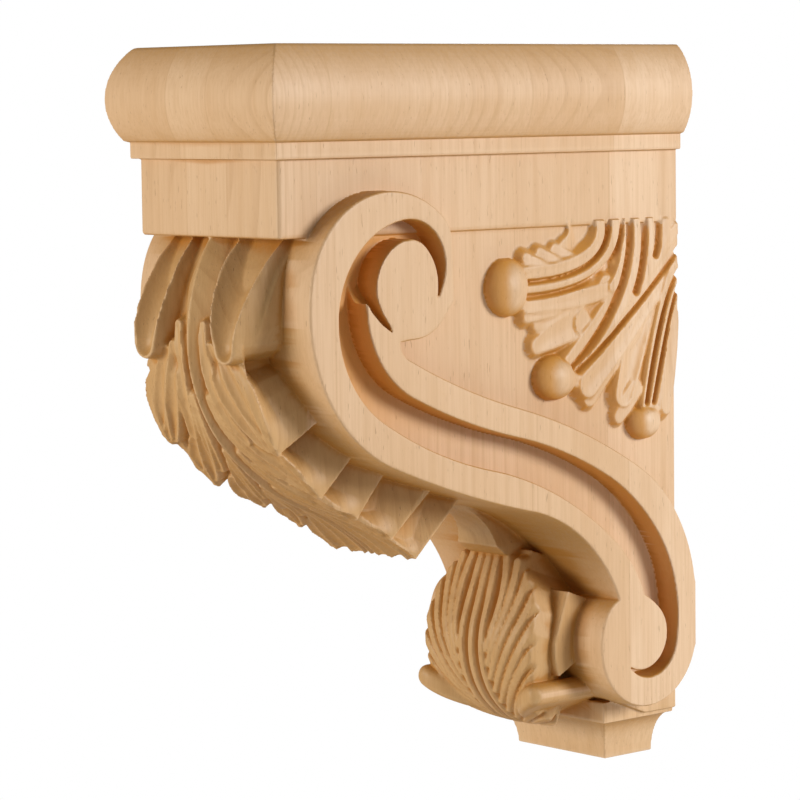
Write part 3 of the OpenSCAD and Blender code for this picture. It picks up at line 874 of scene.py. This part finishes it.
def carve():
    """The corbel as one mesh, with its tones as vertex attributes."""
    field = np.stack([corbel_slice(i) for i in range(len(x_nodes))])
    points, quads = largest_part(*surface(field))
    points, faces = mirrored(*thin_out(points, quads, TRIANGLES / 2))
    low, high = (np.array(v) for v in cad_box)
    place = np.clip(points / 1000 + (0, 0, HEIGHT / 2000), low, high)
    mesh = mesh_from("corbel_carving", place, faces)
    for name, value in tones(field, points, faces).items():
        mesh.attributes.new(name, "FLOAT", "POINT").data.foreach_set("value", value.astype(np.float32))
    mesh.polygons.foreach_set("use_smooth", np.ones(len(faces), bool))
    piece = bpy.data.objects.new("corbel_carving", mesh)
    bpy.context.scene.collection.objects.link(piece)
    mesh.set_sharp_from_angle(angle=math.radians(SHARP_ANGLE))
    modifier = piece.modifiers.new("shade", "WEIGHTED_NORMAL")
    modifier.keep_sharp = True
    modifier.weight = 50
    return piece


# ---------------------------------------------------------------- wood

class Nodes:
    """Short names for building a node tree."""

    def __init__(self, tree):
        self.tree = tree

    def add(self, kind, sockets=(), **settings):
        node = self.tree.nodes.new(kind)
        for name, value in settings.items():
            setattr(node, name, value)
        for key, value in dict(sockets).items():
            if isinstance(value, bpy.types.NodeSocket):
                self.tree.links.new(value, node.inputs[key])
            else:
                node.inputs[key].default_value = value
        return node

    def math(self, operation, a, b=0.0, c=0.0):
        return self.add("ShaderNodeMath", {0: a, 1: b, 2: c}, operation=operation).outputs[0]

    def ramp(self, value, low, high, start=0.0, end=1.0):
        """Smooth step from start to end as value goes from low to high."""
        return self.add("ShaderNodeMapRange", {
            "Value": value, "From Min": low, "From Max": high, "To Min": start, "To Max": end,
        }, interpolation_type="SMOOTHSTEP").outputs["Result"]

    def mix(self, amount, a, b, blend="MIX"):
        node = self.add("ShaderNodeMix", data_type="RGBA", blend_type=blend)
        for socket, value in ((node.inputs[0], amount), (node.inputs[6], a), (node.inputs[7], b)):
            if isinstance(value, bpy.types.NodeSocket):
                self.tree.links.new(value, socket)
            else:
                socket.default_value = value
        return node.outputs[2]

    def noise(self, place, scale, detail=2.0, rough=0.5):
        return self.add("ShaderNodeTexNoise", {
            "Vector": place, "Scale": scale, "Detail": detail, "Roughness": rough,
        }).outputs["Fac"]

    def vector(self, operation, a, b):
        return self.add("ShaderNodeVectorMath", {0: a, 1: b}, operation=operation).outputs[0]

    def stretched(self, place, x, y, z):
        return self.vector("MULTIPLY", place, (x, y, z))

    def split(self, vector):
        return self.add("ShaderNodeSeparateXYZ", {0: vector}).outputs

    def product(self, first, *others):
        for other in others:
            first = self.math("MULTIPLY", first, other)
        return first

    def attribute(self, name):
        return self.add("ShaderNodeAttribute", attribute_name=name).outputs["Fac"]


# Glue lines of the blank, in metres: boards stacked in depth, and three across the front
DEPTH_SEAMS = (-0.215, -0.1005, -0.0435)
FRONT_SEAMS = (-0.0145, 0.0132)

PALE = (0.76, 0.53, 0.335, 1)
MIDDLE = (0.70, 0.465, 0.275, 1)
HONEY = (0.60, 0.36, 0.175, 1)
LATE = (0.50, 0.285, 0.13, 1)
RECESS_SHADE = (0.47, 0.195, 0.022, 1)
LEAF = (0.83, 0.76, 0.56, 1)
PORE = (0.30, 0.16, 0.07, 1)
END = (0.51, 0.25, 0.045, 1)
SHADE_AMBER = (0.66, 0.29, 0.035, 1)

# Growth rings in a metre, how far the pith leans off a board's length, and how far the grain
# of one board is shifted from another's, in metres
RINGS = 190.0
PITH_LEAN = (0.055, 0.04)
BOARD_SHIFT = (0.11, 0.07, 0.9)


def boards(n, place):
    """A number of its own for each board, and a place that is shifted from board to board."""
    x, y, _ = n.split(place)
    board = 0.0
    for seam in DEPTH_SEAMS:
        board = n.math("ADD", n.math("GREATER_THAN", y, seam), board)
    strip = 0.0
    for seam in FRONT_SEAMS:
        strip = n.math("ADD", n.math("GREATER_THAN", x, seam), strip)
    in_front = n.math("LESS_THAN", y, DEPTH_SEAMS[0])
    board = n.math("ADD", board, n.product(strip, in_front, 7.0))
    own = n.add("ShaderNodeTexWhiteNoise", {"W": n.math("ADD", board, 0.37)}, noise_dimensions="1D")
    offset = n.vector("SUBTRACT", own.outputs["Color"], (0.5, 0.5, 0.5))
    return own.outputs["Value"], n.vector("ADD", place, n.stretched(offset, *BOARD_SHIFT))


def late_wood(n, moved):
    """The darker line that ends each growth ring, faint in places."""
    sway = n.noise(n.stretched(moved, 1, 1, 0.35), 14.0)
    x, y, z = n.split(moved)
    lean_x = n.math("MULTIPLY_ADD", z, PITH_LEAN[0], x)
    lean_y = n.math("MULTIPLY_ADD", z, PITH_LEAN[1], y)
    radius = n.math("SQRT", n.math("ADD", n.product(lean_x, lean_x), n.product(lean_y, lean_y)))
    radius = n.math("MULTIPLY_ADD", sway, 0.024, radius)
    ring = n.math("FRACT", n.product(radius, RINGS))
    faint = n.ramp(n.noise(moved, 9.0, 1.0), 0.42, 0.66)
    return n.product(n.ramp(ring, 0.55, 0.93), n.ramp(ring, 0.95, 1.0, 1.0, 0.0), faint)


def glue_lines(n, place, colour):
    """Thin dark lines between the boards."""
    x, y, _ = n.split(place)
    in_front = n.math("LESS_THAN", y, DEPTH_SEAMS[0])
    for axis, seams in ((y, DEPTH_SEAMS), (x, FRONT_SEAMS)):
        for seam in seams:
            gap = n.math("ABSOLUTE", n.math("SUBTRACT", axis, seam))
            line = n.ramp(gap, 0.0001, 0.0005, 0.30, 0.0)
            if axis is x:
                line = n.product(line, in_front)
            colour = n.mix(line, colour, LATE)
    return colour


def carved_tones(n, place, colour):
    """Painted shade: warm, darker wood where the carving is deep, and a painted highlight, paler wood, on
    the rims.
    """
    uneven = n.math("MULTIPLY_ADD", n.noise(place, 75.0, 3.0, 0.6), 0.16, -0.08)
    deep = n.ramp(n.math("ADD", n.attribute("sunken"), uneven), 0.24, 0.55)
    wide = n.ramp(n.math("ADD", n.attribute("hollow"), n.product(uneven, 0.6)), 0.50, 0.72)
    crease = n.attribute("crease")
    # the leaves a darker tone, and the foot slab half of it
    colour = n.mix(n.attribute("leaf"), colour, LEAF, "MULTIPLY")
    # painted amber shade on the carving's walls, in the groove and in the gap
    colour = n.mix(n.product(n.ramp(n.attribute("amber_shade"), 0.15, 0.85), 0.7), colour, SHADE_AMBER)
    # painted shade: darker, warmer wood in the deep and wide hollows and in the creases
    colour = n.mix(n.product(wide, 0.3), colour, RECESS_SHADE)
    colour = n.mix(n.product(deep, 0.6), colour, RECESS_SHADE)
    colour = n.mix(n.ramp(crease, 0.29, 0.46, 0.0, 0.6), colour, RECESS_SHADE)
    # painted highlight: paler wood on the convex rims
    colour = n.mix(n.ramp(crease, 0.05, 0.19, 0.38, 0.0), colour, PALE)
    return colour, deep


def wood_material():
    """Sanded maple glued up from boards, with the grain running up the corbel."""
    material = bpy.data.materials.new("maple")
    material.use_nodes = True
    tree = material.node_tree
    shader = tree.nodes["Principled BSDF"]
    n = Nodes(tree)
    place = n.add("ShaderNodeTexCoord").outputs["Object"]
    tone, moved = boards(n, place)
    fibre = n.noise(n.stretched(moved, 900, 900, 26), 1.0, 3.0, 0.6)
    fleck = n.noise(n.stretched(moved, 1500, 1500, 190), 1.0, 1.0)
    pore = n.ramp(fleck, 0.70, 0.78)
    cloud = n.noise(n.stretched(moved, 1, 1, 0.28), 26.0, 3.0, 0.55)
    streak = n.noise(n.stretched(moved, 150, 150, 3.4), 1.0)

    colour = n.mix(n.ramp(cloud, 0.3, 0.7), PALE, MIDDLE)
    colour = n.mix(n.product(n.ramp(tone, 0.1, 0.95), 0.42), colour, HONEY)
    colour = n.mix(n.product(n.ramp(streak, 0.45, 0.75), 0.34), colour, HONEY)
    colour = n.mix(n.product(late_wood(n, moved), 0.36), colour, LATE)
    colour = n.mix(n.product(n.ramp(fibre, 0.35, 0.75), 0.26), colour, LATE)
    colour = n.mix(n.product(pore, 0.45), colour, PORE)
    colour = glue_lines(n, place, colour)

    # end grain on what faces up or down
    facing = n.split(n.add("ShaderNodeNewGeometry").outputs["Normal"])[2]
    end = n.ramp(n.math("ABSOLUTE", facing), 0.3, 0.9)
    speck = n.noise(place, 620.0, 2.0, 0.6)
    end_colour = n.mix(n.ramp(speck, 0.35, 0.7, 0.0, 0.6), END, LATE)
    colour = n.mix(n.product(end, 0.85), colour, end_colour)
    # painted shade and a painted highlight, from how sunken the carving is
    colour, deep = carved_tones(n, place, colour)
    tree.links.new(colour, shader.inputs["Base Color"])

    gloss = n.math("MULTIPLY_ADD", fibre, 0.16, 0.40)
    gloss = n.math("MULTIPLY_ADD", end, 0.12, gloss)
    tree.links.new(n.math("MULTIPLY_ADD", deep, 0.1, gloss), shader.inputs["Roughness"])
    shader.inputs["IOR"].default_value = 1.45
    shader.inputs["Specular IOR Level"].default_value = 0.42

    # raised fibre, pores and the marks of the carving tools
    tool = n.noise(n.stretched(place, 1, 1, 0.45), 260.0, 2.0, 0.55)
    height = n.math("MULTIPLY_ADD", fibre, 0.35, n.product(tool, 0.5))
    height = n.math("MULTIPLY_ADD", pore, -0.5, height)
    height = n.math("MULTIPLY_ADD", speck, n.product(end, 0.4), height)
    bump = n.add("ShaderNodeBump", {"Height": height, "Strength": 0.5, "Distance": 0.0004})
    tree.links.new(bump.outputs["Normal"], shader.inputs["Normal"])
    return material


# ---------------------------------------------------------------- camera and studio

def camera():
    """The camera, at the angle and distance that fit the corbel's outline."""
    azimuth, pitch, roll = (math.radians(a) for a in CAMERA_ANGLES)
    level = Vector((math.sin(azimuth), -math.cos(azimuth), 0))
    back = math.cos(pitch) * level + Vector((0, 0, math.sin(pitch)))
    right = Vector((math.cos(azimuth), math.sin(azimuth), 0))
    up = back.cross(right)
    across = math.cos(roll) * right + math.sin(roll) * up
    upward = -math.sin(roll) * right + math.cos(roll) * up
    place = Vector(TARGET) + back * CAMERA_DISTANCE + across * CAMERA_OFFSET[0] + upward * CAMERA_OFFSET[1]
    data = bpy.data.cameras.new("camera")
    data.lens = CAMERA_LENS
    data.sensor_width = 36
    data.clip_start = 0.05
    data.clip_end = 50
    piece = bpy.data.objects.new("camera", data)
    axes = Matrix((across, upward, back)).transposed().to_4x4()
    piece.matrix_world = Matrix.Translation(place) @ axes
    bpy.context.scene.collection.objects.link(piece)
    bpy.context.scene.camera = piece


def lamp(name, place, side, power, colour):
    data = bpy.data.lights.new(name, "AREA")
    data.shape = "RECTANGLE"
    data.size = data.size_y = side
    data.energy = power
    data.color = colour
    piece = bpy.data.objects.new(name, data)
    piece.location = place
    piece.rotation_euler = (Vector(TARGET) - Vector(place)).to_track_quat("-Z", "Y").to_euler()
    bpy.context.scene.collection.objects.link(piece)


def paper_floor():
    """A pale floor, well below the corbel."""
    signs = np.array([(-1, -1), (1, -1), (1, 1), (-1, 1)])
    corners = np.column_stack([FLOOR_REACH * signs, np.full(4, FLOOR_LEVEL)])
    floor = bpy.data.objects.new("floor", mesh_from("floor", corners, np.array([(0, 1, 2, 3)])))
    bpy.context.scene.collection.objects.link(floor)
    paper = bpy.data.materials.new("paper")
    paper.use_nodes = True
    shader = paper.node_tree.nodes["Principled BSDF"]
    shader.inputs["Base Color"].default_value = (0.86, 0.86, 0.86, 1)
    shader.inputs["Roughness"].default_value = 0.9
    floor.data.materials.append(paper)


def studio():
    """White surroundings, a key that rakes across the side, a fill on the front and one behind."""
    world = bpy.data.worlds.new("studio")
    bpy.context.scene.world = world
    world.use_nodes = True
    n = Nodes(world.node_tree)
    background = world.node_tree.nodes["Background"]
    seen = n.add("ShaderNodeLightPath").outputs["Is Camera Ray"]
    world.node_tree.links.new(n.ramp(seen, 0, 1, AMBIENT, 1.0), background.inputs["Strength"])
    background.inputs["Color"].default_value = (1, 1, 1, 1)
    for settings in LAMPS:
        lamp(*settings)
    paper_floor()
    bpy.context.scene.view_settings.view_transform = "Standard"


camera()
studio()
corbel = carve()
corbel.data.materials.append(wood_material())
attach(corbel, "root")
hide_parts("corbel")
